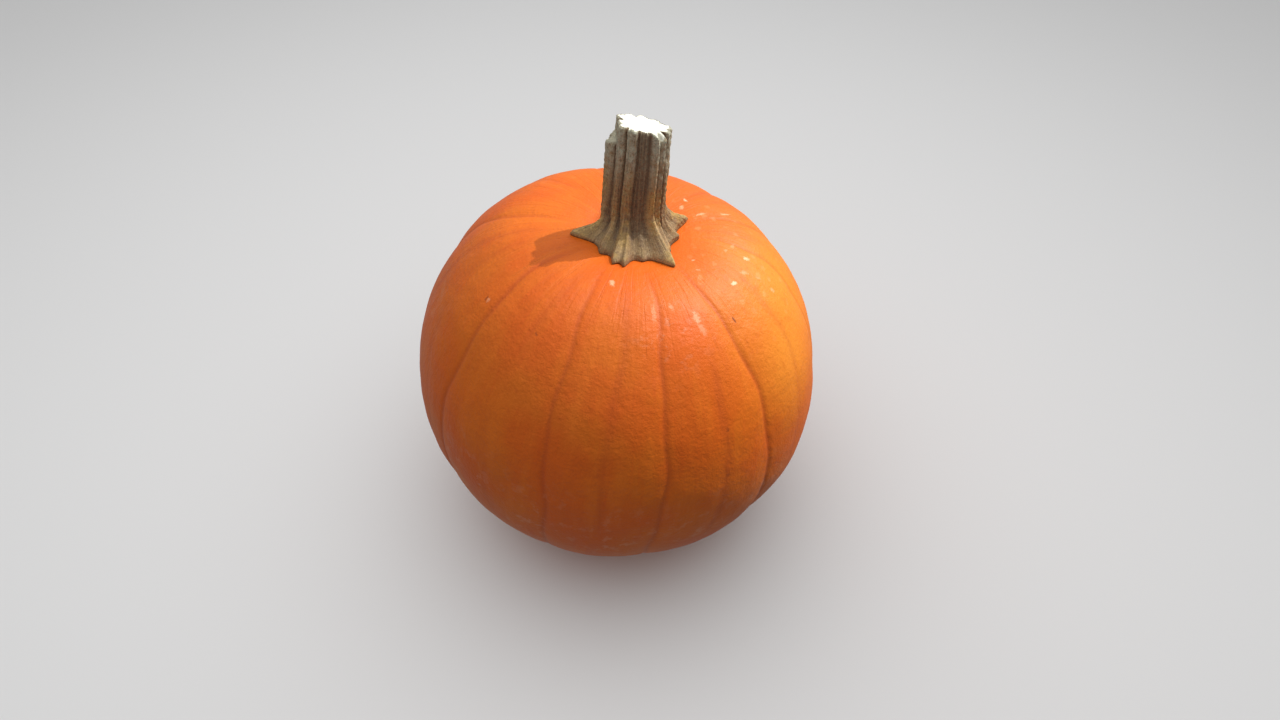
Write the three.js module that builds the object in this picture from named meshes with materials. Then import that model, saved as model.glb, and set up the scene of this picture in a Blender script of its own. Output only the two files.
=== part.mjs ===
// A small round pumpkin with its cut, woody stem, standing on the flat spot under it.
// Millimetres, +Z up. The origin is the middle of the bottom of the whole object's box.
//
// Both pieces are worked out in the growth frame: its origin is the fruit's centre and its Z axis
// runs from the blossom end to the stem. That frame then leans towards +X and is set on the ground.
// An azimuth is 0 towards -Y and grows towards +X. A polar angle is 0 at the stem.
import * as THREE from 'three';
import { mergeVertices } from 'three/addons/utils/BufferGeometryUtils.js';

const { degToRad, euclideanModulo, inverseLerp, lerp, smoothstep } = THREE.MathUtils;

// Fruit
const FRUIT_RADIUS = 100;
const LEAN = degToRad(5.4);
// Each dip lowers the round fruit by a share of its radius, over an angle from the pole.
const STEM_HOLLOW = { share: 0.18, reach: degToRad(23) };
const SHOULDER_DROP = { share: 0.035, reach: degToRad(60) };
const BASE_DROP = { share: 0.05, reach: degToRad(45) };

// Grooves between the ribs: the azimuth in degrees and the strength of each.
const MAIN_GROOVES = [
  [-160, 0.8], [-132, 0.5], [-105, 0.9], [-56, 1.0], [-20, 0.9], [11, 1.0],
  [43.5, 1.15], [85, 0.8], [113, 0.8], [143, 0.9], [172, 1.0],
].map(([degrees, strength]) => ({ azimuth: degToRad(degrees), strength }));
const FAINT_GROOVES = [
  [-174, 0.3], [-146, 0.25], [-118, 0.2], [-91, 0.6], [-76, 0.35], [-38, 0.25], [-4, 0.3],
  [28, 0.4], [64, 0.4], [99, 0.25], [128, 0.25], [158, 0.3],
].map(([degrees, strength]) => ({ azimuth: degToRad(degrees), strength }));
const CREASE = { depth: 1.3, halfWidth: 4.5 };
const VALLEY = { depth: 1.2, halfWidth: 15 };
const GROOVE_START = degToRad(14);
const GROOVE_FULL = degToRad(36);
const GROOVE_FADE = degToRad(120);
const GROOVE_LEFT_AT_BASE = 0.4;

// Flat spot and blossom end
const GROUND_BELOW_CENTRE = 88.5;
const FLAT_SPOT_EDGE = 0.3;
const BLOSSOM_SCAR = { depth: 3, radius: 11 };

// Stem
const FOOT_CENTRE_X = -1.2;
const STEM_DRIFT = 0.04;
const STEM_TOP = 136;
const CUT_SLOPE = { x: -0.12, y: -0.2 };
const SHAFT_RADIUS = 13.1;
const SHAFT_TAPER = 0.02;
const SHAFT_FLATNESS = 0.92;
const FOOT_RADIUS = 18.6;
const FLARE_HEIGHT = 17;
const FLARE_POWER = 3;
const FOOT_THICKNESS = 1.3;
const SKIN_GAP = 0.5;
// Ridges down the stem, each ending in a toe: the azimuth in degrees, how far it stands out of the
// shaft, how far its toe reaches past the round of the foot, and its half-width in degrees.
const RIDGES = [
  [-150, 0.9, 5, 11], [-114, 1.2, -3, 13], [-76, 1.5, 9, 14], [-38, 0.8, 4.6, 10], [-13, 1.7, 9.5, 10],
  [12, 0.4, 3, 9], [37, 1.5, 12, 10], [56, 1.4, 1.5, 7], [84, 0.3, 3, 10], [114, 1.7, 10, 11],
  [146, 1.1, 5, 11], [176, 1.5, 8.5, 12],
].map(([degrees, rise, reach, halfWidth]) => ({
  azimuth: degToRad(degrees), rise, reach, halfWidth: degToRad(halfWidth),
}));
// A ridge that is broken off below the cut, and a chip out of the rim.
const BROKEN_RIDGE = { azimuth: degToRad(-92), halfWidth: degToRad(30), height: 128, ledge: 4, slope: 2 };
const CHIPPED_RIM = { azimuth: degToRad(45), halfWidth: degToRad(10), drop: 3 };

// Fineness
const COLUMNS_PER_RIB = 10;
const COLUMN_CROWDING = 0.55;
const FRUIT_ROWS = 44;
const STEM_COLUMNS = 72;
const CUT_RINGS = 3;
const SIDE_RINGS = 19;
const FOOT_RINGS = 5;

const bell = (distance, halfWidth) => Math.exp(-((distance / halfWidth) ** 2));

const angleBetween = (a, b) => euclideanModulo(a - b + Math.PI, 2 * Math.PI) - Math.PI;

// How deep the deepest of some grooves is at an azimuth, as a share of a full groove.
function grooveShare(grooves, halfWidth, azimuth, polar) {
  const ringRadius = FRUIT_RADIUS * Math.sin(polar);
  return Math.max(...grooves.map(
    (groove) => groove.strength * bell(ringRadius * angleBetween(azimuth, groove.azimuth), halfWidth)));
}

function grooveDepth(azimuth, polar) {
  const allGrooves = [...MAIN_GROOVES, ...FAINT_GROOVES];
  const crease = CREASE.depth * grooveShare(allGrooves, CREASE.halfWidth, azimuth, polar);
  const valley = VALLEY.depth * grooveShare(MAIN_GROOVES, VALLEY.halfWidth, azimuth, polar);
  const start = smoothstep(polar, GROOVE_START, GROOVE_FULL);
  const fade = lerp(1, GROOVE_LEFT_AT_BASE, smoothstep(polar, GROOVE_FADE, Math.PI));
  return start * fade * (crease + valley);
}

function fruitRadius(azimuth, polar) {
  const dips = STEM_HOLLOW.share * bell(polar, STEM_HOLLOW.reach)
    + SHOULDER_DROP.share * bell(polar, SHOULDER_DROP.reach)
    + BASE_DROP.share * bell(Math.PI - polar, BASE_DROP.reach);
  return FRUIT_RADIUS * (1 - dips) - grooveDepth(azimuth, polar);
}

// Height above the ground once the skin below it is pressed into the flat spot, with a soft edge.
function settledHeight(height) {
  if (height <= -FLAT_SPOT_EDGE) return 0;
  if (height >= FLAT_SPOT_EDGE) return height;
  return (height + FLAT_SPOT_EDGE) ** 2 / (4 * FLAT_SPOT_EDGE);
}

function fruitPoint(azimuth, polar) {
  const radius = fruitRadius(azimuth, polar);
  const point = new THREE.Vector3(
    radius * Math.sin(polar) * Math.sin(azimuth),
    -radius * Math.sin(polar) * Math.cos(azimuth),
    radius * Math.cos(polar),
  );
  const fromAxis = Math.hypot(point.x, point.y);
  point.applyAxisAngle(new THREE.Vector3(0, 1, 0), LEAN);
  point.z = settledHeight(point.z + GROUND_BELOW_CENTRE) - GROUND_BELOW_CENTRE;
  if (polar > Math.PI / 2) {
    point.z += BLOSSOM_SCAR.depth * (1 - smoothstep(fromAxis, 0, BLOSSOM_SCAR.radius));
  }
  return point;
}

// Growth-frame height of the fruit's top, straight above or below a point beside the axis.
function fruitTopHeight(x, y) {
  const azimuth = Math.atan2(x, -y);
  const distance = Math.hypot(x, y);
  let polar = 0;
  for (let step = 0; step < 16; step += 1) {
    polar = Math.asin(distance / fruitRadius(azimuth, polar));
  }
  return fruitRadius(azimuth, polar) * Math.cos(polar);
}

// Radius of the foot's outline where it lies on the skin.
function footReach(azimuth) {
  return RIDGES.reduce(
    (sum, ridge) => sum + ridge.reach * bell(angleBetween(azimuth, ridge.azimuth), ridge.halfWidth),
    FOOT_RADIUS);
}

function shaftRadius(azimuth, heightOverFoot) {
  const ridges = RIDGES.reduce(
    (sum, ridge) => sum + ridge.rise * bell(angleBetween(azimuth, ridge.azimuth), ridge.halfWidth), 0);
  const flatness = lerp(1, SHAFT_FLATNESS, Math.cos(azimuth) ** 2);
  return (SHAFT_RADIUS + ridges) * flatness - SHAFT_TAPER * (heightOverFoot - FLARE_HEIGHT);
}

// A point of the stem at a distance from its own axis, in the growth frame.
function besideStemAxis(azimuth, distance, heightOverFoot) {
  return [
    FOOT_CENTRE_X - STEM_DRIFT * heightOverFoot + distance * Math.sin(azimuth),
    -distance * Math.cos(azimuth),
  ];
}

// How far the side steps in where the broken ridge is missing.
function ledgeDepth(azimuth, z) {
  const missing = Math.exp(-((angleBetween(azimuth, BROKEN_RIDGE.azimuth) / BROKEN_RIDGE.halfWidth) ** 4));
  return BROKEN_RIDGE.ledge * missing
    * smoothstep(z, BROKEN_RIDGE.height, BROKEN_RIDGE.height + BROKEN_RIDGE.slope);
}

function stemSidePoint(azimuth, z, footHeight) {
  const overFoot = z - footHeight - FOOT_THICKNESS;
  const flare = Math.max(0, 1 - overFoot / FLARE_HEIGHT) ** FLARE_POWER;
  const shaft = shaftRadius(azimuth, overFoot) - ledgeDepth(azimuth, z);
  const distance = lerp(shaft, footReach(azimuth), flare);
  return new THREE.Vector3(...besideStemAxis(azimuth, distance, overFoot), z);
}

const cutHeight = (x, y) => STEM_TOP + CUT_SLOPE.x * x + CUT_SLOPE.y * y;

function stemRimPoint(azimuth, footHeight) {
  const flatRim = stemSidePoint(azimuth, STEM_TOP, footHeight);
  const chip = CHIPPED_RIM.drop * bell(angleBetween(azimuth, CHIPPED_RIM.azimuth), CHIPPED_RIM.halfWidth);
  return stemSidePoint(azimuth, cutHeight(flatRim.x, flatRim.y) - chip, footHeight);
}

// The underside follows the skin, and closes at the foot's own centre.
function stemUndersidePoint(azimuth, share) {
  const [x, y] = besideStemAxis(azimuth, share * footReach(azimuth), 0);
  return new THREE.Vector3(x, y, fruitTopHeight(x, y) + SKIN_GAP);
}

function cutFacePoint(azimuth, share, footHeight) {
  const rim = stemRimPoint(azimuth, footHeight);
  const [centreX, centreY] = besideStemAxis(0, 0, STEM_TOP - footHeight);
  const x = lerp(centreX, rim.x, share);
  const y = lerp(centreY, rim.y, share);
  const z = share === 1 ? rim.z : cutHeight(x, y);
  return new THREE.Vector3(x, y, z);
}

// Rows run from the middle of the cut, over the rim, down the side and in under the foot.
function stemPoint(azimuth, row) {
  const rimRow = CUT_RINGS;
  const footRow = rimRow + SIDE_RINGS;
  const skin = stemUndersidePoint(azimuth, 1);
  if (row <= rimRow) return cutFacePoint(azimuth, Math.sqrt(row / rimRow), skin.z);
  if (row > footRow) return stemUndersidePoint(azimuth, inverseLerp(FOOT_RINGS, 1, row - footRow));
  const rim = stemRimPoint(azimuth, skin.z);
  const down = inverseLerp(rimRow, footRow, row);
  const z = lerp(rim.z, skin.z + FOOT_THICKNESS, 1 - (1 - down) ** 1.6);
  return stemSidePoint(azimuth, z, skin.z);
}

// The columns and rows of a sphere, moved to where a piece's own surface has them.
function shapedSphere(azimuths, rows, pointAt) {
  const columns = azimuths.length;
  const geometry = new THREE.SphereGeometry(1, columns, rows);
  const { position, uv } = geometry.attributes;
  for (let vertex = 0; vertex < position.count; vertex += 1) {
    const row = Math.round(rows * (1 - uv.getY(vertex)));
    const atPole = row === 0 || row === rows;
    const column = atPole ? 0 : Math.round(columns * uv.getX(vertex)) % columns;
    position.setXYZ(vertex, ...pointAt(azimuths[column], row));
  }
  geometry.deleteAttribute('normal');
  geometry.deleteAttribute('uv');
  const closed = mergeVertices(geometry);
  closed.computeVertexNormals();
  return closed;
}

// Columns crowd towards the main grooves, so that each crease is followed closely.
function fruitAzimuths() {
  return MAIN_GROOVES.flatMap((groove, index) => {
    const next = MAIN_GROOVES[(index + 1) % MAIN_GROOVES.length];
    const rib = euclideanModulo(next.azimuth - groove.azimuth, 2 * Math.PI);
    return Array.from({ length: COLUMNS_PER_RIB }, (_, column) => {
      const share = column / COLUMNS_PER_RIB;
      const crowded = share - (COLUMN_CROWDING * Math.sin(2 * Math.PI * share)) / (2 * Math.PI);
      return groove.azimuth + rib * crowded;
    });
  });
}

function makeFruit() {
  const geometry = shapedSphere(fruitAzimuths(), FRUIT_ROWS,
    (azimuth, row) => fruitPoint(azimuth, (Math.PI * row) / FRUIT_ROWS));
  const skin = new THREE.MeshStandardMaterial({ color: '#ee6a1e', roughness: 0.45, metalness: 0 });
  const fruit = new THREE.Mesh(geometry, skin);
  fruit.name = 'fruit';
  return fruit;
}

function makeStem() {
  const azimuths = Array.from({ length: STEM_COLUMNS }, (_, column) => (2 * Math.PI * column) / STEM_COLUMNS);
  const geometry = shapedSphere(azimuths, CUT_RINGS + SIDE_RINGS + FOOT_RINGS, stemPoint);
  const bark = new THREE.MeshStandardMaterial({ color: '#7d6a4c', roughness: 0.85, metalness: 0 });
  const stem = new THREE.Mesh(geometry, bark);
  stem.name = 'stem';
  stem.rotation.y = LEAN;
  return stem;
}

const pumpkin = new THREE.Group();
pumpkin.add(makeFruit(), makeStem());
const centre = new THREE.Box3().setFromObject(pumpkin, true).getCenter(new THREE.Vector3());
pumpkin.position.set(-centre.x, -centre.y, GROUND_BELOW_CENTRE);

export default pumpkin;
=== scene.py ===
"""A small round pumpkin with its cut, woody stem, on a plain pale floor.

Both pieces are worked out in the growth frame: its origin is the fruit's centre and its Z axis runs
from the blossom end to the stem. That frame leans towards +X and stands in the middle of the CAD
fruit's box. An azimuth is 0 towards -Y and grows towards +X. A polar angle is 0 at the stem.
Lengths are in metres. Azimuths and polar angles in the lists below are in degrees.
"""
import math

import bpy
import numpy as np
from mathutils import Matrix, Vector, noise


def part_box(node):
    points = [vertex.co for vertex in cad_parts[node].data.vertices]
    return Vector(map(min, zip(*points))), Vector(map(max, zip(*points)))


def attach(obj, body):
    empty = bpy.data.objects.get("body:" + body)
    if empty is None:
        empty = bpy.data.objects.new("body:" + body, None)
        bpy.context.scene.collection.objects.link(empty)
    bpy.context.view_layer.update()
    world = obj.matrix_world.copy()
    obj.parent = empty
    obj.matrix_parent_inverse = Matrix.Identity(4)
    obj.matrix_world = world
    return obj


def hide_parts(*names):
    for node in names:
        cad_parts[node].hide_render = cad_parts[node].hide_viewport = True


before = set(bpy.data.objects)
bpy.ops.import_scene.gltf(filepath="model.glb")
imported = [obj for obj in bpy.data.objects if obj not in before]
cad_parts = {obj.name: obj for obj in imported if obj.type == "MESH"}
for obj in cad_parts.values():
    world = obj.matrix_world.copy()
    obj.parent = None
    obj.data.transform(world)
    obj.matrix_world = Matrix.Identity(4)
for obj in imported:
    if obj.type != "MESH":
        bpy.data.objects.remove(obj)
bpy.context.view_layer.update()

MM = 0.001

# Fruit
FRUIT_RADIUS = 100 * MM
LEAN = math.radians(5.4)
GROUND_BELOW_CENTRE = 88.5 * MM
FLAT_SPOT_EDGE = 0.3 * MM
# Each dip lowers the round fruit by a share of its radius, over an angle from the pole.
STEM_HOLLOW = (0.18, 23)
SHOULDER_DROP = (0.035, 60)
BASE_DROP = (0.05, 45)
BLOSSOM_SCAR_DEPTH = 3 * MM
BLOSSOM_SCAR_RADIUS = 11 * MM
FRUIT_COLUMNS = 420
FRUIT_ROWS = 220
COLUMN_CROWDING = 0.5

# Where the fruit is a little fuller than round: the azimuth, the polar angle, the height in mm and
# the half-width.
FULLER_PARTS = [(-128, 44, 2.3, 36), (-178, 40, 0.6, 30), (58, 106, 1.3, 30), (-30, 125, 0.8, 40)]

# Grooves between the ribs: the azimuth at the shoulder and at the widest part, the depth of the
# crease and of the valley around it as shares of the full ones, and how strongly the line is stained.
MAIN_GROOVES = [
    (-163, -158, 0.8, 0.8, 0.6),
    (-136, -130, 0.5, 0.6, 0.4),
    (-101, -110, 0.9, 0.9, 0.8),
    (-56, -56, 1.0, 0.8, 0.9),
    (-23, -20, 0.9, 0.7, 0.8),
    (10, 11, 1.0, 0.8, 0.8),
    (39, 44, 1.3, 1.2, 1.0),
    (87, 82, 0.8, 0.9, 0.6),
    (110, 114, 0.8, 0.8, 0.6),
    (141, 145, 0.9, 0.9, 0.7),
    (174, 170, 1.0, 0.9, 0.7),
]
# Where sunlight is painted on the skin, and where its colour or surface differs: the azimuth, the polar
# angle and the half-width.
PAINTED_SUNLIGHT_PARTS = [(80, 45, 27), (62, 56, 16)]
BLUSHED_PARTS = [(-10, 20, 13), (60, 20, 14), (105, 26, 13), (150, 30, 20), (20, 38, 10)]
SCARRED_PARTS = [(72, 36, 17), (100, 24, 14), (52, 27, 10), (-150, 60, 22), (160, 75, 20)]
BLOOM_PARTS = [(-45, 98, 14), (-22, 100, 14), (2, 102, 14), (24, 99, 12), (44, 94, 10), (-88, 72, 12),
               (14, 38, 8), (152, 104, 13), (-140, 100, 12), (-172, 98, 10)]
# Larger flecks: the azimuth, the polar angle, the length and width in mm, the turn and the strength.
FLECKS = [
    (79, 33, 1.9, 1.3, 40, 0.7), (57, 33, 2.0, 0.9, 70, 0.8), (68, 33.6, 2.2, 1.2, 40, 0.28),
    (71.5, 37.7, 1.8, 0.9, 20, 0.2), (85, 29, 2.0, 1.0, 70, 0.22), (78, 27, 1.6, 0.8, 70, 0.2),
    (54, 20.8, 1.0, 0.5, 60, 0.4), (48, 24, 0.9, 0.6, 50, 0.25), (138, 24, 1.6, 0.8, 60, 0.8),
    (133, 20.3, 1.8, 1.2, 30, 0.4), (118, 23, 3.5, 0.8, 5, 0.4), (116, 31, 3.0, 0.6, 5, 0.4),
    (-15, 25.2, 1.8, 1.2, 30, 0.55), (17.6, 31.8, 2.0, 1.0, 10, 0.3), (27.5, 36, 3.0, 1.6, 5, 0.35),
    (28, 39, 3.5, 1.4, 5, 0.25), (8.6, 33, 4.5, 1.0, 0, 0.22), (72, 43, 1.6, 1.2, 40, 0.3),
    (-60, 47, 1.2, 0.8, 10, 0.3), (-150, 62, 2.5, 1.3, 30, 0.6), (170, 80, 2.0, 1.4, 10, 0.5),
    (-95, 95, 2.2, 1.2, 60, 0.4),
]
# Dark nicks, with the same numbers as the flecks.
NICKS = [
    (43.9, 40.3, 1.8, 0.5, 0, 0.8), (-35, 45.5, 1.2, 0.5, 60, 0.5), (28.9, 65.4, 1.2, 0.9, 0, 0.35),
    (28.8, 79, 1.4, 1.0, 0, 0.3), (-61, 47.3, 2.0, 0.5, 5, 0.6), (-120, 70, 1.5, 0.6, 20, 0.6),
    (165, 60, 1.6, 0.6, 50, 0.6),
]
# Faint grooves: the azimuth at the shoulder and at the widest part, the strength, and the polar angles
# where each one starts and ends.
FAINT_GROOVES = [
    (-176, -172, 0.3, 25, 140), (-148, -144, 0.3, 20, 110), (-120, -128, 0.4, 24, 56),
    (-87, -91, 0.7, 28, 70), (-76, -84, 0.5, 32, 54), (-82, -68, 0.45, 60, 112),
    (-36, -36, 0.5, 22, 50), (-44, -38, 0.4, 70, 112), (-4, -5, 0.7, 22, 96),
    (28, 28, 1.0, 48, 104), (64, 58, 0.6, 30, 94), (97, 96, 0.4, 18, 42),
    (128, 130, 0.3, 22, 130), (158, 156, 0.4, 20, 120),
]
CREASE_DEPTH = 0.42 * MM
CREASE_HALF_WIDTH = 1.5 * MM
TROUGH_DEPTH = 0.35 * MM
TROUGH_HALF_WIDTH = 5.5 * MM
VALLEY_DEPTH = 0.7 * MM
VALLEY_HALF_WIDTH = 15 * MM
STAIN_HALF_WIDTH = 1.2 * MM
# A faint groove's stain is weaker and wider than a main one's, and its ends fade over these degrees.
FAINT_STAIN = 0.8
FAINT_STAIN_WIDENING = 1.6
FAINT_START_FADE = 6
FAINT_END_FADE = 8
# Polar angles between which the grooves begin and fade away, and those of their two azimuths.
GROOVE_START = (14, 36)
GROOVE_FADE = (120, 180)
GROOVE_LEFT_AT_BASE = 0.4
SHOULDER_POLAR = 36
WIDEST_POLAR = 80
# How far a groove's line goes on past its two azimuths, in shares of the way between them.
LINE_GOES_ON = (-0.4, 1.2)
# How a groove wanders to both sides: each wave's frequency over the polar angle, its shift from one
# groove to the next and its share. LEAST_AROUND stops the wander from growing near the poles.
WANDER = 0.9 * MM
WANDER_WAVES = [(7.3, 2.1, 1.0), (16.7, 4.7, 0.6)]
LEAST_AROUND = 0.3
# Unevenness of the skin: its height, the size of its features and the seed of its noise.
SKIN_LUMPS = [(0.5 * MM, 30 * MM, 0.0), (0.16 * MM, 9 * MM, 5.0)]
# Polar angles between which the unevenness begins, and the shoulder's wrinkles begin and end.
LUMPS_START = (22, 40)
WRINKLES_START = (13, 24)
WRINKLES_END = (32, 56)

# Stem: where the foot's middle is, and how far the stem drifts towards -X for its height.
FOOT_CENTRE_X = -1.2 * MM
STEM_DRIFT = 0.04
STEM_TOP = 135.8 * MM
CUT_SLOPE_X = -0.12
CUT_SLOPE_Y = -0.13
SHAFT_RADIUS = 13.1 * MM
# How much the shaft narrows for its height, how flat its front and back are, and how deep it is for
# its width.
SHAFT_TAPER = 0.02
SHAFT_FLATNESS = 0.92
SHAFT_SQUASH = 0.78
STEM_TWIST = math.radians(5)
# Heights over the foot between which the ridges turn.
TWIST_BETWEEN = (2 * MM, 16 * MM)
FOOT_RADIUS = 18.6 * MM
FLARE_HEIGHT = 17 * MM
FLARE_POWER = 3
# Where the foot spreads in a tighter bend: the azimuth, the half-width and the flare's height.
TIGHT_FLARE = (-88, 36, 6 * MM)
# The thickness of the foot's edge, and what a toe that reaches out by so many mm adds to it.
FOOT_THICKNESS = 1.3 * MM
TOE_THICKNESS = 0.9 * MM
THICK_TOE_REACH = 10
TOE_SHARPNESS = 1.5
FOOT_EDGE_ROUNDING = 1.1 * MM
# The edge turns under at a share of its thickness, and the underside begins at a share of its reach.
FOOT_EDGE_HEIGHT = 0.35
UNDERSIDE_SHARE = 0.97
SUNK_IN_SKIN = 0.6 * MM
RIM_ROUNDING = 0.7 * MM
# Ridges down the stem: the azimuth, how far each one stands out of the shaft and its toe out of the
# round of the foot in mm, and its half-width in degrees. A toe below 0 is a bay in the foot's edge.
RIDGES = [
    (-150, 0.9, 5, 11), (-114, 1.2, -3, 13), (-76, 1.5, 10, 11), (-38, 0.8, 4.6, 10),
    (-19, 1.1, 7.5, 6), (-8, 1.3, 8.0, 6), (12, 0.4, 3, 9), (37, 1.5, 12, 10), (56, 1.4, 1.5, 7),
    (84, 0.3, 3, 10), (114, 1.7, 10, 11), (146, 1.1, 5, 11), (176, 1.5, 8.5, 12),
]
TALLEST_RIDGE = max(ridge[1] for ridge in RIDGES)
# Flutes between the ridges and down them: the azimuth, the depth in mm and the half-width in degrees.
FLUTES = [
    (-166, 1.0, 5), (-136, 1.2, 4), (-126, 0.5, 2.5), (-101, 0.9, 4), (-88, 0.5, 3), (-54, 1.5, 5),
    (-44, 0.4, 2), (-27, 1.6, 4), (-18, 0.3, 1.8), (0, 1.2, 3.5), (14, 1.1, 13), (7, 0.3, 3),
    (26, 0.9, 4), (35, 0.3, 1.6), (47, 0.8, 2), (68, 2.6, 6), (92, 1.0, 4), (102, 0.4, 2),
    (130, 1.3, 4.5), (138, 0.4, 2), (161, 1.2, 4.5), (170, 0.3, 2),
]
# The depth at which a flute is fully dark with painted shade, and how the flutes close towards the foot's
# edge.
DARKEST_FLUTE = 1.3 * MM
FLUTES_OPEN_BY = 7 * MM
FLUTES_LEFT_AT_FOOT = 0.35
# How far the flutes sway to both sides in radians, and over what height.
FLUTE_SWAY = 0.03
FLUTE_SWAY_HEIGHT = 9 * MM
# A ridge that has broken off: its azimuth and half-width, and its ledge's height, depth and slope.
BROKEN_RIDGE = (-92, 30, 128 * MM, 4 * MM, 2.2 * MM)
# A chip in the rim: its azimuth, half-width and depth.
CHIPPED_RIM = (45, 10, 3 * MM)
# Unevenness of the stem: its height, the size of its features and the seed of its noise. The rim's
# splinters have their size as an angle in radians.
CUT_GRAIN = (0.35 * MM, 2.5 * MM, 4.0)
FOOT_KNOBS = (0.95 * MM, 4.5 * MM, 7.0)
SIDE_KNOBS = (0.45 * MM, 1.8 * MM, 13.0)
SPLINTERS = [(0.5 * MM, 0.13, 2.0), (0.3 * MM, 0.05, 9.0)]
# Fibres along the stem: their height, how close they lie, their length and the seed of their noise.
FIBRES = [(0.3 * MM, 2.2, 50 * MM, 3.0), (0.2 * MM, 5, 30 * MM, 11.0)]
FIBRE_SIZE = 0.35
FIBRES_LOST_AT_FOOT = 0.6
# The length of the wood's grain in the material.
GRAIN_LENGTH = 50 * MM
STEM_COLUMNS = 660
CUT_RINGS = 14
SIDE_RINGS = 100
FOOT_RINGS = 12
# The side's rings crowd towards the foot. The cut's face turns into its rim over the last of the way.
RING_CROWDING = 1.5
CUT_EDGE = (0.8, 1.0)
# Steps in the search for the skin under a point.
SKIN_SEARCH_STEPS = 16

# Patterns on the skin: the size of the features, the detail and the roughness of the noise.
SKIN_PATTERNS = {
    "patches": (38 * MM, 3, 0.55),
    "mottle": (4.5 * MM, 4, 0.65),
    "grain": (0.7 * MM, 2, 0.75),
    "wax": (6.5 * MM, 4, 0.72),
    "pebbles": (1.6 * MM, 3, 0.65),
    "dimples": (4 * MM, 3, 0.55),
}
# Patterns drawn out down the ribs: how close they lie in rib space, the detail, the roughness and the
# distortion.
RIB_PATTERNS = {
    "streaks": ((11, 11, 1.6), 3, 0.6, 0.0),
    "threads": ((40, 40, 5.0), 3, 0.6, 0.0),
    "wrinkles": ((22, 22, 2.4), 3, 0.6, 0.5),
}
SKIN_BASE = (0.70, 0.120, 0.007)
# Layers of colour on the skin, from the bottom up: the largest share, the colour, and what shows the
# layer. That is a pattern or an attribute, either as it is or with the values where the layer begins
# to show and where it shows fully.
SKIN_LAYERS = {
    "yellower patches": (1.0, (0.71, 0.150, 0.008), [("patches", 0.38, 0.64)]),
    "light streaks": (0.6, (0.80, 0.180, 0.012), [("streaks", 0.45, 0.8)]),
    "red threads": (0.32, (0.68, 0.090, 0.006), [("threads", 0.5, 0.8)]),
    # Painted sunlight: a brighter, yellower colour on the right shoulder, where the lights from the right
    # fall.
    "painted sunlight": (0.9, (0.87, 0.285, 0.026), [("painted_sunlight",)]),
    "blushed parts": (0.6, (0.78, 0.112, 0.007), [("blush",)]),
    "dark mottle": (0.36, (0.55, 0.088, 0.006), [("mottle", 0.5, 0.8)]),
    "dark wrinkles": (0.13, (0.52, 0.072, 0.008), [("wrinkled",)]),
    "dark grain": (0.38, (0.48, 0.080, 0.006), [("grain", 0.5, 0.8)]),
    "stained grooves": (0.45, (0.40, 0.058, 0.012), [("groove",)]),
    "waxy bloom": (0.38, (0.78, 0.36, 0.22), [("bloom",), ("wax", 0.53, 0.64)]),
    "scattered flecks": (0.22, (0.93, 0.46, 0.20), [("scarred",), ("scattered", 0.02, -0.14)]),
    "corky flecks": (1.0, (0.96, 0.62, 0.38), [("flecks",)]),
    "dark nicks": (1.0, (0.20, 0.040, 0.012), [("nicks",)]),
    "blossom scar": (1.0, (0.17, 0.11, 0.06), [("scar", 0.15, 0.5)]),
}
# The values between which the wrinkles show. Then the bumps' heights, from the first bump to the last.
WRINKLED_BETWEEN = (0.5, 0.72)
SKIN_BUMPS = {"dimples": 0.32 * MM, "pebbles": 0.25 * MM, "threads": 0.15 * MM, "wrinkled": -0.15 * MM}
# Scattered flecks: how far apart they are, their ragged edge's noise and how ragged it makes them.
SCATTERED_SPACING = 7 * MM
SCATTERED_NOISE = (1.1 * MM, 3, 0.7)
SCATTERED_RAGGEDNESS = 0.5
# The flecks and nicks of the lists: their depth, their edge's noise, how ragged it makes them, and the
# edge's distance from the middle, outside and inside, in half-sizes.
MARK_DEPTH = 4 * MM
MARK_NOISE = (1.0 * MM, 3, 0.75)
MARK_RAGGEDNESS = 2.6
MARK_EDGE = (1.2, 0.4)
MIDDLE_OF_NOISE = 0.5

# The stem's patterns, those drawn out along it, its layers of colour and its bumps, in the skin's way.
STEM_PATTERNS = {"patches": (9 * MM, 3, 0.6), "mottle": (3 * MM, 4, 0.7), "speckle": (0.8 * MM, 2, 0.75)}
WOOD_PATTERNS = {"grain": ((14, 14, 1.3), 4, 0.65), "fibres": ((44, 44, 7), 3, 0.65)}
STEM_BASE = (0.23, 0.148, 0.085)
STEM_LAYERS = {
    "light grain": (1.0, (0.50, 0.340, 0.180), [("grain", 0.36, 0.66)]),
    "ochre ridges": (0.8, (0.60, 0.385, 0.115), [
        ("ridge",), ("patches", 0.38, 0.6), ("height", 0.95, 0.5),
    ]),
    # Painted shade: the flutes darken with their depth, and the grey-green top below stays out of the
    # deeper ones.
    "painted shade in flutes": (0.68, (0.14, 0.098, 0.070), [("flute",)]),
    "grey-green top": (0.85, (0.60, 0.60, 0.46), [
        ("height", 0.45, 0.9), ("mottle", 0.25, 0.6), ("flute", 1.1, 0.2),
    ]),
    "brown foot": (1.0, (0.31, 0.205, 0.098), [("height", 0.22, 0.0), ("mottle", 0.38, 0.62)]),
    # Painted shade: a dark band along the foot's lowest edge and its underside, where the foot meets the
    # skin.
    "painted shade at foot": (0.7, (0.08, 0.050, 0.026), [("height", 0.025, 0.0)]),
    "dark speckle": (0.6, (0.12, 0.085, 0.058), [("speckle", 0.5, 0.72)]),
    "light speckle": (0.4, (0.60, 0.47, 0.29), [("speckle", 0.45, 0.26)]),
    "pale ledge": (1.0, (0.54, 0.50, 0.37), [("ledge",)]),
    "pale cut": (1.0, (0.80, 0.785, 0.66), [("cut",)]),
}
STEM_BUMPS = {"side_grain": 0.6 * MM, "side_fibres": 0.2 * MM, "mottle": 0.5 * MM, "speckle": 0.15 * MM}

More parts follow.
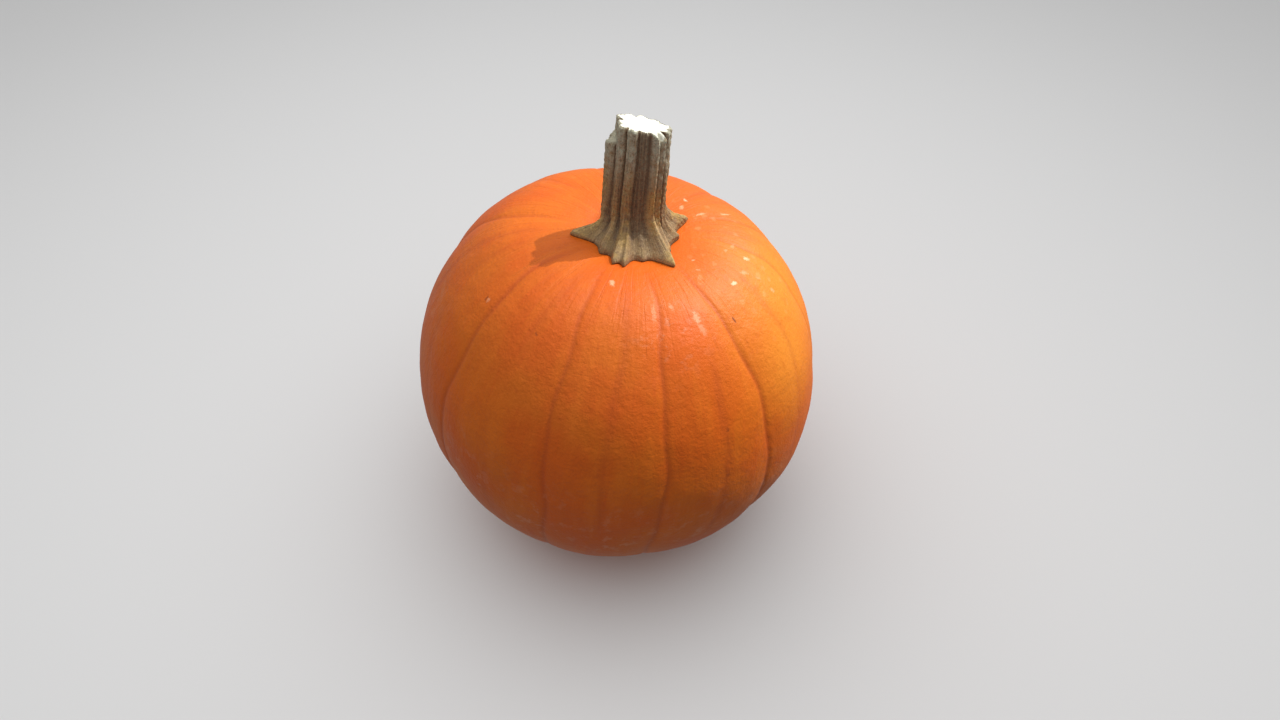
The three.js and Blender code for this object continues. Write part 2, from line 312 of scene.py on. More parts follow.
# Camera: the view's height over the horizon, and how far it stands from the fruit's centre.
CAMERA_ELEVATION = math.radians(45)
CAMERA_DISTANCE = 4.5 * FRUIT_RADIUS
CAMERA_VERTICAL_VIEW = math.radians(45)
CAMERA_SHIFT_X = 0.0178
CAMERA_SENSOR_MM = 36
CAMERA_CLIP_START = 0.01
PICTURE_WIDTH = 1280
PICTURE_HEIGHT = 720

# Lights
KEY_AZIMUTH = math.radians(116)
KEY_ELEVATION = math.radians(52)
KEY_STRENGTH = 2.1
KEY_ANGLE = math.radians(0.6)
# Soft lights: the azimuth and the height over the horizon in degrees, and the power in watts.
SOFT_LIGHTS = {"right_light": (110, 40, 2.2), "back_light": (135, 35, 1.6), "top_light": (0, 89, 1.3)}
SOFT_LIGHT_DISTANCE = 0.9
SOFT_LIGHT_SIZE = 0.2
# How bright the studio's walls and ceiling are in each direction.
SURROUNDINGS = [
    ((0, 0, 1), 0.69), ((0, 1, 0), 0.34), ((-1, 0, 0), 0.12), ((0, -1, 0), 0.11), ((0, 0, -1), 0.23),
]
# A wide lamp that lights the floor alone: where it hangs, its width and its power in watts.
FLOOR_LAMP_PLACE = Vector((0, 0.1, 0.65))
FLOOR_LAMP_SIZE = 1.2
FLOOR_LAMP_POWER = 3.8
FLOOR_RADIUS = 8.0
FLOOR_CORNERS = 96
WHITE = (1, 1, 1, 1)
PALE_GREY = (0.38, 0.38, 0.38, 1)
FLOOR_GREY = (0.68, 0.68, 0.68, 1)


def bell(distance, half_width):
    return np.exp(-((distance / half_width) ** 2))


def angle_between(a, b):
    return (a - b + math.pi) % (2 * math.pi) - math.pi


def smoothstep(value, low, high):
    share = np.clip((value - low) / (high - low), 0, 1)
    return share * share * (3 - 2 * share)


def lerp(a, b, share):
    return a + (b - a) * share


def unevenness(points, height, size, seed):
    """Smooth hills and dents at an array of points, with features of the given size."""
    flat = points.reshape(-1, 3) / size + seed
    values = [noise.noise(Vector(place)) for place in flat]
    return height * np.array(values).reshape(points.shape[:-1])


def direction(azimuth, polar):
    return np.stack([
        np.sin(polar) * np.sin(azimuth),
        -np.sin(polar) * np.cos(azimuth),
        np.cos(polar) * np.ones_like(azimuth),
    ], axis=-1)


# ---------------------------------------------------------------- the fruit's shape

def groove_line(shoulder, widest, polar, order):
    """Azimuth of one groove at each polar angle, with a slight wander."""
    share = (np.degrees(polar) - SHOULDER_POLAR) / (WIDEST_POLAR - SHOULDER_POLAR)
    straight = np.radians(lerp(shoulder, widest, np.clip(share, *LINE_GOES_ON)))
    around = FRUIT_RADIUS * np.maximum(np.sin(polar), LEAST_AROUND)
    wander = sum(part * np.sin(often * polar + shift * order) for often, shift, part in WANDER_WAVES)
    return straight + WANDER * wander / around


def sunk_round(share, degrees_across, polar):
    return share * bell(polar, math.radians(degrees_across))


def smooth_fruit_radius(polar):
    """Radius of the fruit before its grooves."""
    dips = sunk_round(*STEM_HOLLOW, polar) + sunk_round(*SHOULDER_DROP, polar)
    dips += sunk_round(*BASE_DROP, math.pi - polar)
    return FRUIT_RADIUS * (1 - dips)


def groove_reach(polar):
    """How much of its depth a groove has at a polar angle."""
    degrees = np.degrees(polar)
    start = smoothstep(degrees, *GROOVE_START)
    return start * lerp(1, GROOVE_LEFT_AT_BASE, smoothstep(degrees, *GROOVE_FADE))


def grooves_at(azimuth, polar):
    """Depth of the grooves, and how stained the skin is by them, at arrays of angles."""
    around = FRUIT_RADIUS * np.sin(polar)
    degrees = np.degrees(polar)
    crease = np.zeros_like(azimuth)
    trough = np.zeros_like(azimuth)
    valley = np.zeros_like(azimuth)
    stain = np.zeros_like(azimuth)
    for order, (shoulder, widest, creased, hollowed, stained) in enumerate(MAIN_GROOVES):
        away = around * angle_between(azimuth, groove_line(shoulder, widest, polar, order))
        crease = np.maximum(crease, creased * bell(away, CREASE_HALF_WIDTH))
        trough = np.maximum(trough, creased * bell(away, TROUGH_HALF_WIDTH))
        valley = np.maximum(valley, hollowed * bell(away, VALLEY_HALF_WIDTH))
        stain = np.maximum(stain, stained * bell(away, STAIN_HALF_WIDTH))
    for order, (shoulder, widest, strength, start, end) in enumerate(FAINT_GROOVES, len(MAIN_GROOVES)):
        away = around * angle_between(azimuth, groove_line(shoulder, widest, polar, order))
        begun = smoothstep(degrees, start - FAINT_START_FADE, start + FAINT_START_FADE)
        ended = smoothstep(degrees, end - FAINT_END_FADE, end + FAINT_END_FADE)
        shown = strength * begun * (1 - ended)
        trough = np.maximum(trough, shown * bell(away, TROUGH_HALF_WIDTH))
        stained = FAINT_STAIN * shown * bell(away, FAINT_STAIN_WIDENING * STAIN_HALF_WIDTH)
        stain = np.maximum(stain, stained)
    depth = CREASE_DEPTH * crease + TROUGH_DEPTH * trough + VALLEY_DEPTH * valley
    return depth * groove_reach(polar), stain * groove_reach(polar)


def settled_height(height):
    """Height above the ground once the skin below it is pressed into the flat spot."""
    pressed = (height + FLAT_SPOT_EDGE) ** 2 / (4 * FLAT_SPOT_EDGE)
    return np.where(height <= -FLAT_SPOT_EDGE, 0, np.where(height >= FLAT_SPOT_EDGE, height, pressed))


def leaned(points):
    """Growth-frame points, turned to lean towards +X and set on the ground."""
    x, y, z = np.moveaxis(points, -1, 0)
    return np.stack([
        x * math.cos(LEAN) + z * math.sin(LEAN),
        y,
        z * math.cos(LEAN) - x * math.sin(LEAN) + GROUND_BELOW_CENTRE,
    ], axis=-1)


def fruit_grid():
    """Azimuth and polar angle of each row and column. Columns crowd towards the main grooves."""
    polar = np.linspace(0, math.pi, FRUIT_ROWS + 1)[:, None]
    lines = [groove_line(g[0], g[1], polar, order) for order, g in enumerate(MAIN_GROOVES)]
    lines.append(lines[0] + 2 * math.pi)
    columns = []
    for line, following in zip(lines, lines[1:]):
        count = round(FRUIT_COLUMNS * float((following - line).mean()) / (2 * math.pi))
        share = np.arange(count) / count
        crowded = share - COLUMN_CROWDING * np.sin(2 * math.pi * share) / (2 * math.pi)
        columns.append(line + (following - line) * crowded)
    azimuth = np.concatenate(columns, axis=1)
    return azimuth, np.broadcast_to(polar, azimuth.shape)


def painted(outward, parts):
    """1 in the middle of some parts of the skin, fading to 0 around them."""
    total = np.zeros(outward.shape[:-1])
    for azimuth, polar, half_width in parts:
        total = np.maximum(total, bell(angle_from(outward, azimuth, polar), math.radians(half_width)))
    return total


def angle_from(outward, azimuth, polar):
    """Angle between directions and the one at an azimuth and a polar angle in degrees."""
    way = direction(np.array(math.radians(azimuth)), math.radians(polar))
    return np.arccos(np.clip(outward @ way, -1, 1))


def fruit_skin_point(azimuth, polar):
    """One point of the skin, leaned and on the ground, with the fine unevenness left out."""
    azimuth, polar = np.array([azimuth]), np.array([polar])
    outward = direction(azimuth, polar)
    radius = smooth_fruit_radius(polar) - grooves_at(azimuth, polar)[0] + fullness(outward)
    return leaned(outward * radius[:, None])[0]


def fullness(outward):
    """How far the skin swells out over the round fruit, by its direction from the centre."""
    total = np.zeros(outward.shape[:-1])
    for azimuth, polar, height, half_width in FULLER_PARTS:
        total += height * MM * bell(angle_from(outward, azimuth, polar), math.radians(half_width))
    return total


def make_fruit():
    azimuth, polar = fruit_grid()
    depth, stain = grooves_at(azimuth, polar)
    outward = direction(azimuth, polar)
    lumps = fullness(outward) + sum(unevenness(outward * FRUIT_RADIUS, *lump) for lump in SKIN_LUMPS)
    lumps *= smoothstep(np.degrees(polar), *LUMPS_START)
    radius = smooth_fruit_radius(polar) - depth + lumps
    growth = outward * radius[..., None]
    points = leaned(growth)
    points[..., 2] = settled_height(points[..., 2])
    from_axis = np.hypot(growth[..., 0], growth[..., 1])
    under = polar > math.pi / 2
    scar = np.where(under, 1 - smoothstep(from_axis, 0, BLOSSOM_SCAR_RADIUS), 0)
    points[..., 2] += BLOSSOM_SCAR_DEPTH * scar
    begun = smoothstep(np.degrees(polar), *WRINKLES_START)
    ended = smoothstep(np.degrees(polar), *WRINKLES_END)
    attributes = {
        # Where sunlight is painted on the skin as a brighter, yellower colour.
        "painted_sunlight": painted(outward, PAINTED_SUNLIGHT_PARTS),
        "blush": painted(outward, BLUSHED_PARTS),
        "scarred": painted(outward, SCARRED_PARTS),
        "bloom": painted(outward, BLOOM_PARTS),
        "groove": stain,
        "scar": scar,
        "shoulder": begun * (1 - ended),
        "rib_space": np.stack([np.sin(azimuth), -np.cos(azimuth), polar], axis=-1),
    }
    return points, attributes


# ---------------------------------------------------------------- the stem's shape

def fruit_top_height(x, y):
    """Growth-frame height of the fruit's top, straight above or below a point beside the axis."""
    distance = np.hypot(x, y)
    polar = np.zeros_like(distance)
    for _ in range(SKIN_SEARCH_STEPS):
        polar = np.arcsin(distance / smooth_fruit_radius(polar))
    azimuth = np.arctan2(x, -y)
    depth, _ = grooves_at(azimuth, polar)
    return (smooth_fruit_radius(polar) - depth) * np.cos(polar)


def around_stem(azimuth, marks, sharpness=2):
    """Sum of one bell for each mark (azimuth, size, half-width), in the size's own unit."""
    total = np.zeros_like(azimuth)
    for degrees, size, half_width in marks:
        away = np.abs(angle_between(azimuth, math.radians(degrees))) / math.radians(half_width)
        total += size * np.exp(-away ** sharpness)
    return total


def twisted(azimuth, over_foot):
    """The azimuth of a ridge at the foot, for an azimuth further up, as the ridges twist a little."""
    return azimuth + STEM_TWIST * smoothstep(over_foot, *TWIST_BETWEEN)


def foot_reach(azimuth):
    return FOOT_RADIUS + MM * around_stem(azimuth, [(r[0], r[2], r[3]) for r in RIDGES], TOE_SHARPNESS)


def shaft_radius(azimuth, over_foot):
    at_foot = twisted(azimuth, over_foot)
    ridges = MM * around_stem(at_foot, [(r[0], r[1], r[3]) for r in RIDGES])
    flatness = lerp(1, SHAFT_FLATNESS, np.cos(azimuth) ** 2)
    return (SHAFT_RADIUS + ridges) * flatness - SHAFT_TAPER * (over_foot - FLARE_HEIGHT)


def flute_depth(azimuth, over_foot):
    """Depth of the narrow flutes, which close towards the foot's edge."""
    sway = FLUTE_SWAY * np.sin(over_foot / FLUTE_SWAY_HEIGHT)
    opened = lerp(FLUTES_LEFT_AT_FOOT, 1, smoothstep(over_foot, 0, FLUTES_OPEN_BY))
    return MM * around_stem(twisted(azimuth, over_foot) + sway, FLUTES) * opened


def ledge_depth(azimuth, z):
    """How far the side steps in where the broken ridge is missing."""
    degrees, half_width, height, ledge, slope = BROKEN_RIDGE
    missing = around_stem(azimuth, [(degrees, 1, half_width)], sharpness=4)
    return ledge * missing * smoothstep(z, height, height + slope)


def flare_height(azimuth):
    degrees, half_width, height = TIGHT_FLARE
    return lerp(FLARE_HEIGHT, height, around_stem(azimuth, [(degrees, 1, half_width)]))


def beside_stem_axis(azimuth, distance, over_foot, squash=1):
    x = FOOT_CENTRE_X - STEM_DRIFT * over_foot + distance * np.sin(azimuth)
    return x, -distance * np.cos(azimuth) * squash


def foot_edge_thickness(azimuth):
    toes = around_stem(azimuth, [(r[0], max(r[2], 0) / THICK_TOE_REACH, r[3]) for r in RIDGES])
    return FOOT_THICKNESS + TOE_THICKNESS * np.clip(toes, 0, 1)


def turn_of(azimuth):
    """Points on a circle, in which noise closes up around the stem."""
    return np.stack([np.sin(azimuth), np.cos(azimuth), np.zeros_like(azimuth)], axis=-1)


def stem_side(azimuth, z, skin_height, rim_height):
    """Points down the side of the stem, with its flutes, fibres and knobbly foot."""
    over_foot = z - skin_height - foot_edge_thickness(azimuth)
    flare = np.clip(1 - over_foot / flare_height(azimuth), 0, 1) ** FLARE_POWER
    shaft = shaft_radius(azimuth, over_foot) - ledge_depth(azimuth, z) - flute_depth(azimuth, over_foot)
    rounding = RIM_ROUNDING * (1 - np.clip((rim_height - z) / RIM_ROUNDING, 0, 1)) ** 2
    rounding = rounding + FOOT_EDGE_ROUNDING * (1 - np.clip(over_foot / FOOT_EDGE_ROUNDING, 0, 1)) ** 2
    distance = lerp(shaft, foot_reach(azimuth), flare) - rounding
    turn = turn_of(azimuth)
    upward = np.zeros_like(turn)
    upward[..., 2] = z
    fibres = sum(
        unevenness(turn * closeness + upward / length, height, FIBRE_SIZE, seed)
        for height, closeness, length, seed in FIBRES
    )
    place = turn * distance[..., None] + upward
    knobs = unevenness(place, *FOOT_KNOBS) * flare + unevenness(place, *SIDE_KNOBS)
    distance = distance + fibres * (1 - FIBRES_LOST_AT_FOOT * flare) + knobs
    x, y = beside_stem_axis(azimuth, distance, over_foot, lerp(SHAFT_SQUASH, 1, flare))
    return np.stack([x, y, z], axis=-1)


def cut_height(x, y):
    return STEM_TOP + CUT_SLOPE_X * x + CUT_SLOPE_Y * y


def stem_rim(azimuth, skin_height):
    """Height of the cut's edge: the sloping cut, less a chip and small splinters."""
    top = np.full_like(azimuth, STEM_TOP)
    flat_rim = stem_side(azimuth, top, skin_height, top + RIM_ROUNDING)
    degrees, half_width, depth = CHIPPED_RIM
    chip = around_stem(azimuth, [(degrees, depth, half_width)])
    splinters = sum(unevenness(turn_of(azimuth), *splinter) for splinter in SPLINTERS)
    return cut_height(flat_rim[..., 0], flat_rim[..., 1]) - chip + splinters


def stem_cut(azimuth, rim, rim_height, skin_height):
    """Rings of points from the middle of the cut's sloping face out to its rim."""
    share = np.sqrt(np.linspace(0, 1, CUT_RINGS, endpoint=False))[:, None]
    centre_x, centre_y = beside_stem_axis(azimuth, 0, STEM_TOP - skin_height)
    x = lerp(centre_x, rim[..., 0], share)
    y = lerp(centre_y, rim[..., 1], share)
    grain = unevenness(np.stack([x, y, np.zeros_like(x)], axis=-1), *CUT_GRAIN)
    z = lerp(cut_height(x, y) + grain, rim_height, smoothstep(share, *CUT_EDGE))
    return np.stack([x, y, z], axis=-1)


def stem_underside(azimuth):
    """Rings of points from the foot's edge in to its middle, sunk in the fruit's skin."""
    inward = np.linspace(1, 0, FOOT_RINGS)[:, None]
    x, y = beside_stem_axis(azimuth, inward * UNDERSIDE_SHARE * foot_reach(azimuth), 0)
    return np.stack([x, y, fruit_top_height(x, y) - SUNK_IN_SKIN], axis=-1)


def stem_attributes_at(azimuth, z, skin_height):
    """What the stem's material needs to know about each point."""
    over_foot = z - skin_height
    azimuth = np.broadcast_to(azimuth, z.shape)
    on_cut = np.zeros_like(z)
    on_cut[:CUT_RINGS] = 1
    ridges = [(r[0], r[1] / TALLEST_RIDGE, r[3]) for r in RIDGES]
    ledge = ledge_depth(azimuth, z) / BROKEN_RIDGE[3]
    return {
        "cut": on_cut,
        "height": over_foot / (STEM_TOP - skin_height),
        # The flute's depth share, which sets how dark its painted shade is.
        "flute": np.clip(flute_depth(azimuth, over_foot) / DARKEST_FLUTE, 0, 1),
        "ridge": np.clip(around_stem(twisted(azimuth, over_foot), ridges), 0, 1),
        "ledge": 4 * ledge * (1 - ledge),
        "turn_space": np.stack([np.sin(azimuth), -np.cos(azimuth), over_foot / GRAIN_LENGTH], axis=-1),
    }


def make_stem():
    azimuth = np.linspace(0, 2 * math.pi, STEM_COLUMNS, endpoint=False)[None, :]
    foot_x, foot_y = beside_stem_axis(azimuth, foot_reach(azimuth), 0)
    skin_height = fruit_top_height(foot_x, foot_y)
    rim_height = stem_rim(azimuth, skin_height)

    down = np.linspace(0, 1, SIDE_RINGS + 1)[:, None]
    thickness = foot_edge_thickness(azimuth)
    z = lerp(rim_height, skin_height + thickness, 1 - (1 - down) ** RING_CROWDING)
    side = stem_side(np.broadcast_to(azimuth, z.shape), z, skin_height, rim_height)

    cut = stem_cut(azimuth, side[:1], rim_height, skin_height)
    foot_edge = np.stack([foot_x, foot_y, skin_height + FOOT_EDGE_HEIGHT * thickness], axis=-1)
    growth = np.concatenate([cut, side, foot_edge, stem_underside(azimuth)])
    return leaned(growth), stem_attributes_at(azimuth, growth[..., 2], skin_height)


# ---------------------------------------------------------------- meshes

def closed_faces(rows, columns):
    """Faces of a grid whose first and last rows are single points and whose columns close."""
    following = [(column + 1) % columns for column in range(columns)]
    faces = [(0, 1 + column, 1 + following[column]) for column in range(columns)]
    for row in range(rows - 3):
        upper = 1 + row * columns
        lower = upper + columns
        faces += [
            (upper + column, lower + column, lower + following[column], upper + following[column])
            for column in range(columns)
        ]
    last_ring = 1 + (rows - 3) * columns
    tip = last_ring + columns
    faces += [(last_ring + column, tip, last_ring + following[column]) for column in range(columns)]
    return faces


def without_repeats(grid):
    """The values of a grid, with its first and last rows cut down to one value each."""
    return np.concatenate([grid[0, :1], grid[1:-1].reshape(-1, *grid.shape[2:]), grid[-1, :1]])


def make_piece(name, points, attributes, material):
    mesh = bpy.data.meshes.new(name)
    mesh.from_pydata(without_repeats(points).tolist(), [], closed_faces(*points.shape[:2]))
    for label, values in attributes.items():
        kind, field = ("FLOAT_VECTOR", "vector") if values.ndim == 3 else ("FLOAT", "value")
        layer = mesh.attributes.new(label, kind, "POINT")
        layer.data.foreach_set(field, without_repeats(values).astype(np.float32).ravel())
    mesh.shade_smooth()
    mesh.materials.append(material)
    piece = bpy.data.objects.new(name, mesh)
    bpy.context.scene.collection.objects.link(piece)
    return piece


def middle(low, high):
    return (np.array(low) + np.array(high)) / 2


# ---------------------------------------------------------------- materials

class Surface:
    """A material, with short calls that add its nodes."""

    def __init__(self, name, roughness, specular):
        self.material = bpy.data.materials.new(name)
        self.material.use_nodes = True
        self.tree = self.material.node_tree
        self.shader = self.tree.nodes["Principled BSDF"]
        self.shader.inputs["Roughness"].default_value = roughness
        self.shader.inputs["Specular IOR Level"].default_value = specular

    def add(self, kind, output, inputs, **settings):
        node = self.tree.nodes.new(kind)
        for name, value in settings.items():
            setattr(node, name, value)
        for key, value in inputs.items():
            if isinstance(value, bpy.types.NodeSocket):
                self.tree.links.new(value, node.inputs[key])
            else:
                node.inputs[key].default_value = value
        return node.outputs[output]

    def place(self):
        return self.add("ShaderNodeTexCoord", "Object", {})

    def value(self, name):
        return self.add("ShaderNodeAttribute", "Fac", {}, attribute_name=name)

    def vector(self, name):
        return self.add("ShaderNodeAttribute", "Vector", {}, attribute_name=name)

    def scaled(self, vector, scale):
        return self.add("ShaderNodeMapping", "Vector", {"Vector": vector, "Scale": scale})

    def noise(self, vector, size, detail, roughness, distortion=0.0):
        inputs = {"Vector": vector, "Scale": 1 / size, "Detail": detail}
        inputs.update({"Roughness": roughness, "Distortion": distortion})
        return self.add("ShaderNodeTexNoise", "Fac", inputs)

    def patterns(self, place, patterns):
        """Noise patterns by name."""
        return {label: self.noise(place, *numbers) for label, numbers in patterns.items()}

    def drawn_out(self, space, patterns):
        """Noise patterns by name, each closer together in some directions than in others."""
        return {
            label: self.noise(self.scaled(space, closeness), 1.0, *numbers)
            for label, (closeness, *numbers) in patterns.items()
        }

    def cells(self, vector, size):
        """Distance from the nearest of some scattered points, 0 at a point."""
        return self.add("ShaderNodeTexVoronoi", "Distance", {"Vector": vector, "Scale": 1 / size})

    def between(self, value, low, high):
        """0 where a value is at or under low, 1 at or over high, smooth in between."""
        inputs = {"Value": value, "From Min": low, "From Max": high}
        return self.add("ShaderNodeMapRange", "Result", inputs, interpolation_type="SMOOTHSTEP")

    def math(self, operation, a, b):
        return self.add("ShaderNodeMath", "Value", {0: a, 1: b}, operation=operation)

    def mix(self, share, under, over):
        inputs = {"Factor": share, "A": under, "B": over}
        node = self.tree.nodes.new("ShaderNodeMix")
        node.data_type = "RGBA"
        for socket in node.inputs:
            if not socket.enabled or socket.name not in inputs:
                continue
            value = inputs[socket.name]
            if isinstance(value, bpy.types.NodeSocket):
                self.tree.links.new(value, socket)
            else:
                socket.default_value = value if socket.name == "Factor" else (*value, 1)
        return next(socket for socket in node.outputs if socket.enabled)

    def bump(self, height, distance, normal=None):
        inputs = {"Height": height, "Distance": distance, "Strength": 1.0}
        if normal is not None:
            inputs["Normal"] = normal
        return self.add("ShaderNodeBump", "Normal", inputs)

    def layered(self, colour, layers, sources):
        """A colour with others laid over it, each where everything that shows it is high."""
        for share, tint, shown_by in layers.values():
            mask = share
            for label, *limits in shown_by:
                shown = self.between(sources[label], *limits) if limits else sources[label]
                mask = self.math("MULTIPLY", mask, shown)
            colour = self.mix(mask, colour, tint)
        return colour

    def bumped(self, bumps, sources):
        """A normal with the bumps of each source, up to its height."""
        normal = None
        for label, height in bumps.items():
            normal = self.bump(sources[label], height, normal)
        return normal

    def finish(self, colour, normal):
        self.tree.links.new(colour, self.shader.inputs["Base Color"])
        self.tree.links.new(normal, self.shader.inputs["Normal"])
        return self.material


def scattered_flecks(skin, place):
    """A value that is low in small ragged spots all over the skin."""
    ragged = skin.math("MULTIPLY", skin.noise(place, *SCATTERED_NOISE), SCATTERED_RAGGEDNESS)
    return skin.math("SUBTRACT", skin.cells(place, SCATTERED_SPACING), ragged)


def marked(skin, place, marks):
    """Ragged spots at chosen places on the skin."""
    ragged = skin.math("SUBTRACT", skin.noise(place, *MARK_NOISE), MIDDLE_OF_NOISE)
    shift = skin.math("MULTIPLY", ragged, MARK_RAGGEDNESS)
    mask = 0.0
    for azimuth, polar, along, across, turn, strength in marks:
        centre = fruit_skin_point(math.radians(azimuth), math.radians(polar)) + set_in_frame
        near = skin.add("ShaderNodeMapping", "Vector", {
            "Vector": place,
            "Location": centre,
            "Rotation": fleck_rotation(azimuth, polar, turn),
            "Scale": (across * MM, along * MM, MARK_DEPTH),
        }, vector_type="TEXTURE")
        away = skin.add("ShaderNodeVectorMath", "Value", {0: near}, operation="LENGTH")
        inside = skin.between(skin.math("ADD", away, shift), *MARK_EDGE)
        mask = skin.math("MAXIMUM", mask, skin.math("MULTIPLY", inside, strength))
    return mask


def fleck_rotation(azimuth, polar, turn):
    """Turns a fleck so that its length runs down the rib, and then by its own turn."""
    around = Matrix.Rotation(math.radians(azimuth), 3, "Z")
    down = Matrix.Rotation(math.radians(polar), 3, "X")
    own_turn = Matrix.Rotation(math.radians(turn), 3, "Z")
    return (around @ down @ own_turn).to_euler()


def skin_material():
    skin = Surface("skin", roughness=0.5, specular=0.27)
    place = skin.place()
    sources = skin.patterns(place, SKIN_PATTERNS)
    sources.update(skin.drawn_out(skin.vector("rib_space"), RIB_PATTERNS))
    # The first of these attributes places painted sunlight; the rest are the skin's own markings.
    for label in ("painted_sunlight", "blush", "scarred", "bloom", "groove", "scar"):
        sources[label] = skin.value(label)
    wrinkled = skin.between(sources["wrinkles"], *WRINKLED_BETWEEN)
    sources["wrinkled"] = skin.math("MULTIPLY", wrinkled, skin.value("shoulder"))
    sources["scattered"] = scattered_flecks(skin, place)
    sources["flecks"] = marked(skin, place, FLECKS)
    sources["nicks"] = marked(skin, place, NICKS)
    colour = skin.layered(SKIN_BASE, SKIN_LAYERS, sources)
    return skin.finish(colour, skin.bumped(SKIN_BUMPS, sources))


def stem_material():
    stem = Surface("woody_stem", roughness=0.85, specular=0.2)
    sources = stem.patterns(stem.place(), STEM_PATTERNS)
    sources.update(stem.drawn_out(stem.vector("turn_space"), WOOD_PATTERNS))
    for label in ("height", "ridge", "flute", "ledge", "cut"):
        sources[label] = stem.value(label)
    uncut = stem.math("SUBTRACT", 1.0, sources["cut"])
    sources["side_grain"] = stem.math("MULTIPLY", sources["grain"], uncut)
    sources["side_fibres"] = stem.math("MULTIPLY", sources["fibres"], uncut)
    colour = stem.layered(STEM_BASE, STEM_LAYERS, sources)
    return stem.finish(colour, stem.bumped(STEM_BUMPS, sources))


# ---------------------------------------------------------------- the stage

def make_floor():
    turns = [2 * math.pi * corner / FLOOR_CORNERS for corner in range(FLOOR_CORNERS)]
    corners = [(FLOOR_RADIUS * math.cos(turn), FLOOR_RADIUS * math.sin(turn), 0) for turn in turns]
    mesh = bpy.data.meshes.new("floor")
    mesh.from_pydata(corners, [], [tuple(range(FLOOR_CORNERS))])
    paint = Surface("floor", roughness=0.9, specular=0.2)
    paint.shader.inputs["Base Color"].default_value = FLOOR_GREY
    mesh.materials.append(paint.material)
    floor = bpy.data.objects.new("floor", mesh)
    floor.visible_diffuse = False
    floor.visible_glossy = False
    bpy.context.scene.collection.objects.link(floor)
    return floor


def towards(azimuth, elevation):
    level = math.cos(elevation)
    return Vector((level * math.sin(azimuth), -level * math.cos(azimuth), math.sin(elevation)))


def aimed(thing, place, target):
    thing.location = place
    thing.rotation_euler = (target - place).to_track_quat("-Z", "Y").to_euler()
    bpy.context.scene.collection.objects.link(thing)
    return thing


def make_light(name, kind, energy, place, target, lit):
    """A light that falls on nothing but the objects in the collection lit."""
    light = bpy.data.lights.new(name, kind)
    light.energy = energy
    lamp = aimed(bpy.data.objects.new(name, light), place, target)
    lamp.light_linking.receiver_collection = lit
    return light


def make_key_light(target, lit):
    place = target + towards(KEY_AZIMUTH, KEY_ELEVATION)
    make_light("key_light", "SUN", KEY_STRENGTH, place, target, lit).angle = KEY_ANGLE


def make_soft_lights(target, lit):
    for name, (azimuth, elevation, power) in SOFT_LIGHTS.items():
        way = towards(math.radians(azimuth), math.radians(elevation))
        place = target + SOFT_LIGHT_DISTANCE * way
        make_light(name, "AREA", power, place, target, lit).size = SOFT_LIGHT_SIZE


def make_floor_lamp(lit):
    straight_down = FLOOR_LAMP_PLACE * Vector((1, 1, 0))
    light = make_light("floor_lamp", "AREA", FLOOR_LAMP_POWER, FLOOR_LAMP_PLACE, straight_down, lit)
    light.shape = "DISK"
    light.size = FLOOR_LAMP_SIZE


def collected(name, things):
    """A collection that only says what a light falls on."""
    group = bpy.data.collections.new(name)
    for thing in things:
        group.objects.link(thing)
    return group


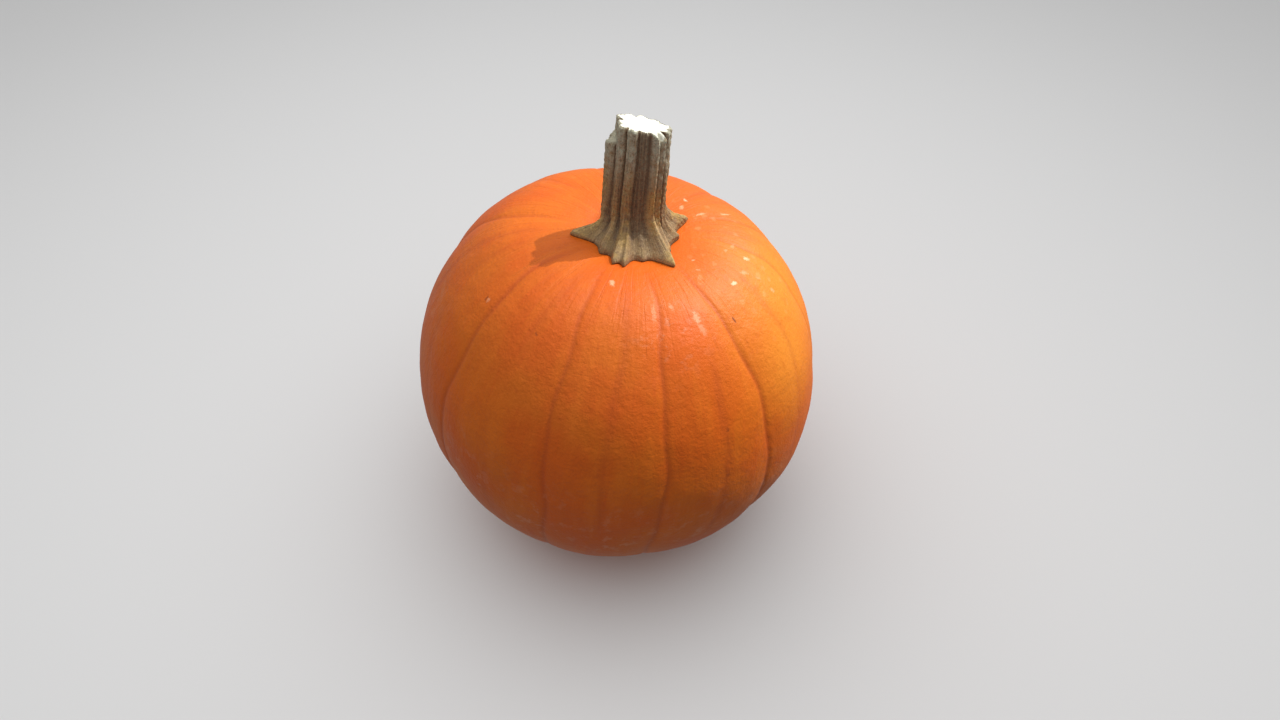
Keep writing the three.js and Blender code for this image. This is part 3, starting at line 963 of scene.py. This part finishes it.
def make_world():
    """Soft light that comes mostly from above and behind. The camera itself sees plain pale grey."""
    world = bpy.data.worlds.new("studio")
    world.use_nodes = True
    nodes, links = world.node_tree.nodes, world.node_tree.links
    way = nodes.new("ShaderNodeTexCoord").outputs["Generated"]
    brightness = None
    for facing, strength in SURROUNDINGS:
        towards_it = nodes.new("ShaderNodeVectorMath")
        towards_it.operation = "DOT_PRODUCT"
        links.new(way, towards_it.inputs[0])
        towards_it.inputs[1].default_value = facing
        ahead = nodes.new("ShaderNodeMath")
        ahead.operation = "MAXIMUM"
        ahead.inputs[1].default_value = 0
        links.new(towards_it.outputs["Value"], ahead.inputs[0])
        added = nodes.new("ShaderNodeMath")
        added.operation = "MULTIPLY_ADD"
        links.new(ahead.outputs[0], added.inputs[0])
        added.inputs[1].default_value = strength
        if brightness is None:
            added.inputs[2].default_value = 0
        else:
            links.new(brightness, added.inputs[2])
        brightness = added.outputs[0]
    soft = nodes["Background"]
    links.new(brightness, soft.inputs["Strength"])
    soft.inputs["Color"].default_value = WHITE
    plain = nodes.new("ShaderNodeBackground")
    plain.inputs["Color"].default_value = PALE_GREY
    seen = nodes.new("ShaderNodeMixShader")
    links.new(nodes.new("ShaderNodeLightPath").outputs["Is Camera Ray"], seen.inputs["Fac"])
    links.new(soft.outputs[0], seen.inputs[1])
    links.new(plain.outputs[0], seen.inputs[2])
    links.new(seen.outputs[0], nodes["World Output"].inputs["Surface"])
    bpy.context.scene.world = world


def make_camera(target):
    camera = bpy.data.cameras.new("camera")
    camera.sensor_width = CAMERA_SENSOR_MM
    sensor_height = camera.sensor_width * PICTURE_HEIGHT / PICTURE_WIDTH
    camera.lens = sensor_height / 2 / math.tan(CAMERA_VERTICAL_VIEW / 2)
    camera.shift_x = CAMERA_SHIFT_X
    camera.clip_start = CAMERA_CLIP_START
    place = target + CAMERA_DISTANCE * towards(0, CAMERA_ELEVATION)
    bpy.context.scene.camera = aimed(bpy.data.objects.new("camera", camera), place, target)


# ---------------------------------------------------------------- the whole scene

fruit_points, fruit_attributes = make_fruit()
stem_points, stem_attributes = make_stem()
fruit_middle = middle(fruit_points.min((0, 1)), fruit_points.max((0, 1)))
set_in_frame = (middle(*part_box("fruit")) - fruit_middle) * (1, 1, 0)

pumpkin_fruit = make_piece("pumpkin_fruit", fruit_points + set_in_frame, fruit_attributes, skin_material())
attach(pumpkin_fruit, "root")
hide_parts("fruit")

pumpkin_stem = make_piece("pumpkin_stem", stem_points + set_in_frame, stem_attributes, stem_material())
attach(pumpkin_stem, "root")
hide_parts("stem")

fruit_centre = Vector((set_in_frame[0], set_in_frame[1], GROUND_BELOW_CENTRE))
lit_pieces = collected("lit_pieces", [pumpkin_fruit, pumpkin_stem])
make_world()
make_key_light(fruit_centre, lit_pieces)
make_soft_lights(fruit_centre, lit_pieces)
make_floor_lamp(collected("lit_floor", [make_floor()]))
make_camera(fruit_centre)
bpy.context.scene.view_settings.view_transform = "Standard"
